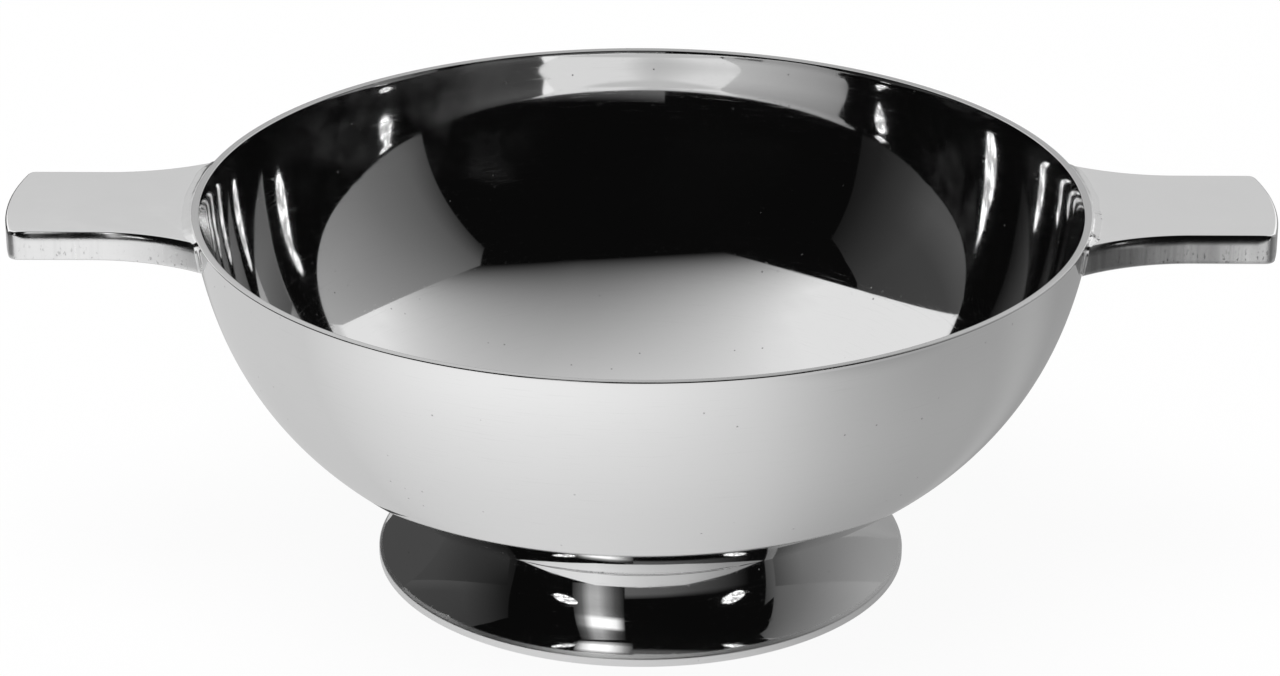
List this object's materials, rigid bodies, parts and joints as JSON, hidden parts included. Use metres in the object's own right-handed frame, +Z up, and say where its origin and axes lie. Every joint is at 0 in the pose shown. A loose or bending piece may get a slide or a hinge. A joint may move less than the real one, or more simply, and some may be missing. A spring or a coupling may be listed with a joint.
{
  "type": "quaich",
  "caption": "Shallow two-handled drinking bowl in polished white metal, with flat flared lugs at the rim and a spun trumpet foot.",
  "frame": {"origin": "centre of the foot's base ring, on the table", "axes": "+Z up along the bowl's axis, +X along the right lug"},
  "size_m": [0.144, 0.102, 0.0437],
  "materials": {
    "bowl_metal": "mirror-polished spun white metal",
    "foot_metal": "mirror-polished spun white metal",
    "lug_metal": "polished top, filed satin sides",
    "solder": "dressed and polished solder"
  },
  "bodies": {
    "root": {"bowl": "bowl_metal", "foot": "foot_metal", "lug_left": "lug_metal", "lug_right": "lug_metal", "foot_solder": "solder", "lug_solder_left": "solder", "lug_solder_right": "solder"}
  },
  "joints": []
}
